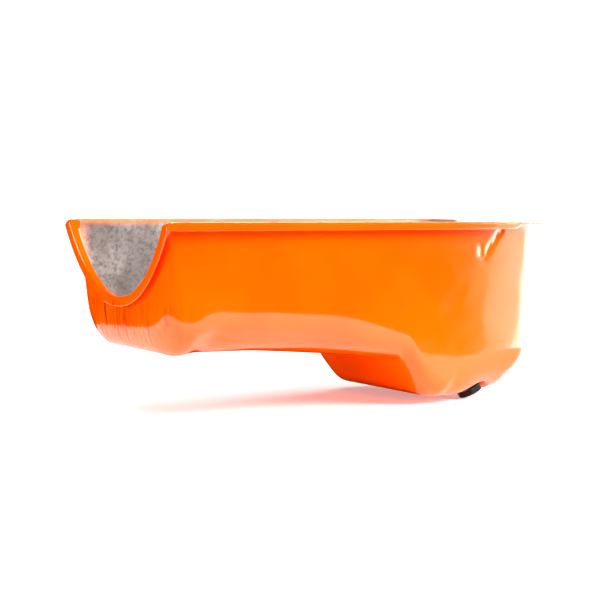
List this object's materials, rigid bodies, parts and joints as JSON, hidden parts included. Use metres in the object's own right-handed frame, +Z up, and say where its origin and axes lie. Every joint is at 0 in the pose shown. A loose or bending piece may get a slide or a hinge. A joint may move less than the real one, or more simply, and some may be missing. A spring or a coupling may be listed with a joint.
{
  "type": "engine oil pan",
  "caption": "Deep-drawn steel engine oil pan, open top, half-moon front opening, deep rear sump and a threaded hex drain plug.",
  "frame": {"origin": "centre of the bounding box seen from above, at the height of the lowest point, which is the drain plug's head", "axes": "+X from the front half-moon opening to the rear, +Z up out of the pan and square to the rail face, -Y towards the side of the drain plug"},
  "size_m": [0.523, 0.243, 0.2154],
  "materials": {
    "orange_enamel": "glossy",
    "bare_steel": "satin",
    "black_oxide": "satin",
    "gasket_fibre": "matte"
  },
  "bodies": {
    "pan": {"pan_body": "orange_enamel", "drain_boss": "bare_steel", "slosh_baffle": "bare_steel"},
    "plug_carrier": {"plug_gasket": "gasket_fibre"},
    "plug": {"drain_plug": "black_oxide"}
  },
  "joints": [
    {"name": "plug_travel", "type": "slide", "parent": "pan", "child": "plug_carrier", "axis": [0.3599, -0.2199, -0.9067], "range_m": [0, 0.0127]},
    {"name": "plug_turn", "type": "hinge", "parent": "plug_carrier", "child": "plug", "pos_m": [0.18232, -0.06667, 0.01687], "axis": [0.3599, -0.2199, -0.9067], "range_deg": [0, 3599]}
  ],
  "couplings": [
    {"joint": "plug_travel", "follows": "plug_turn", "m_per_rad": 0.00020213}
  ]
}
